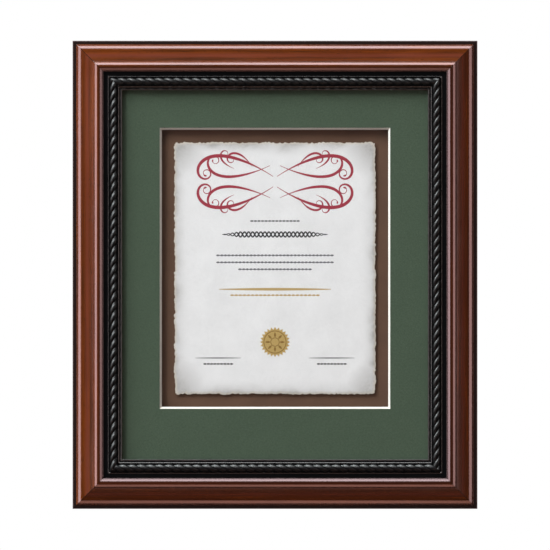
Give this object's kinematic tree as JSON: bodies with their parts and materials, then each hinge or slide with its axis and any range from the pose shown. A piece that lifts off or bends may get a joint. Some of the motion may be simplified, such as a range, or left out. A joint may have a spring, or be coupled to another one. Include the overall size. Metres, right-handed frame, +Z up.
{
  "type": "certificate frame",
  "caption": "Wall frame with a mitred wooden moulding, black rope-bead slip, bevelled mat, glazing and a floated sheet, closed by turn buttons and hung by D-rings.",
  "frame": {"origin": "middle of the bottom edge, halfway through the whole depth from the moulding's ridge to the wall bumpers", "axes": "+X to the right seen from the front, +Z up, +Y from the front to the wall"},
  "size_m": [0.4062, 0.0268, 0.4696],
  "materials": {
    "mahogany_moulding": "satin",
    "black_slip": "satin",
    "black_rope": "satin",
    "foam_board": "matte",
    "nail_steel": "satin",
    "glazing": "polished",
    "green_mat": "matte",
    "brown_board": "matte",
    "parchment": "matte",
    "backing_fibreboard": "matte",
    "screw_steel": "satin",
    "hanger_steel": "satin",
    "turn_button_steel": "satin",
    "bumper_rubber": "matte"
  },
  "bodies": {
    "frame": {"top_rail": "mahogany_moulding", "top_slip": "black_slip", "top_rope_bead": "black_rope", "top_spacer": "foam_board", "bottom_rail": "mahogany_moulding", "bottom_slip": "black_slip", "bottom_rope_bead": "black_rope", "bottom_spacer": "foam_board", "left_rail": "mahogany_moulding", "left_slip": "black_slip", "left_rope_bead": "black_rope", "left_spacer": "foam_board", "right_rail": "mahogany_moulding", "right_slip": "black_slip", "right_rope_bead": "black_rope", "right_spacer": "foam_board", "corner_v_nails": "nail_steel", "glazing": "glazing", "mat_board": "green_mat", "mount_board": "brown_board", "certificate_riser": "foam_board", "certificate_sheet": "parchment", "backing_board": "backing_fibreboard", "turn_button_screws": "screw_steel", "hanger_straps": "hanger_steel", "hanger_screws": "screw_steel", "wall_bumpers": "bumper_rubber"},
    "bottom_turn_button": {"bottom_turn_button": "turn_button_steel"},
    "top_turn_button": {"top_turn_button": "turn_button_steel"},
    "left_lower_turn_button": {"left_lower_turn_button": "turn_button_steel"},
    "left_upper_turn_button": {"left_upper_turn_button": "turn_button_steel"},
    "right_lower_turn_button": {"right_lower_turn_button": "turn_button_steel"},
    "right_upper_turn_button": {"right_upper_turn_button": "turn_button_steel"},
    "left_d_ring": {"left_d_ring": "hanger_steel"},
    "right_d_ring": {"right_d_ring": "hanger_steel"}
  },
  "joints": [
    {"name": "bottom_turn_button_turn", "type": "hinge", "parent": "frame", "child": "bottom_turn_button", "pos_m": [0, 0.00904, 0.0349], "axis": [0, 1, 0], "continuous": true},
    {"name": "top_turn_button_turn", "type": "hinge", "parent": "frame", "child": "top_turn_button", "pos_m": [0, 0.00904, 0.4347], "axis": [0, 1, 0], "continuous": true},
    {"name": "left_lower_turn_button_turn", "type": "hinge", "parent": "frame", "child": "left_lower_turn_button", "pos_m": [-0.16815, 0.00904, 0.1174], "axis": [0, 1, 0], "continuous": true},
    {"name": "left_upper_turn_button_turn", "type": "hinge", "parent": "frame", "child": "left_upper_turn_button", "pos_m": [-0.16815, 0.00904, 0.38977], "axis": [0, 1, 0], "continuous": true},
    {"name": "right_lower_turn_button_turn", "type": "hinge", "parent": "frame", "child": "right_lower_turn_button", "pos_m": [0.16815, 0.00904, 0.1174], "axis": [0, 1, 0], "continuous": true},
    {"name": "right_upper_turn_button_turn", "type": "hinge", "parent": "frame", "child": "right_upper_turn_button", "pos_m": [0.16815, 0.00904, 0.38977], "axis": [0, 1, 0], "continuous": true},
    {"name": "left_d_ring_swing", "type": "hinge", "parent": "frame", "child": "left_d_ring", "pos_m": [-0.16605, 0.01052, 0.31322], "axis": [0, 0, 1], "range_deg": [0, 170]},
    {"name": "right_d_ring_swing", "type": "hinge", "parent": "frame", "child": "right_d_ring", "pos_m": [0.16605, 0.01052, 0.31322], "axis": [0, 0, -1], "range_deg": [0, 170]}
  ]
}
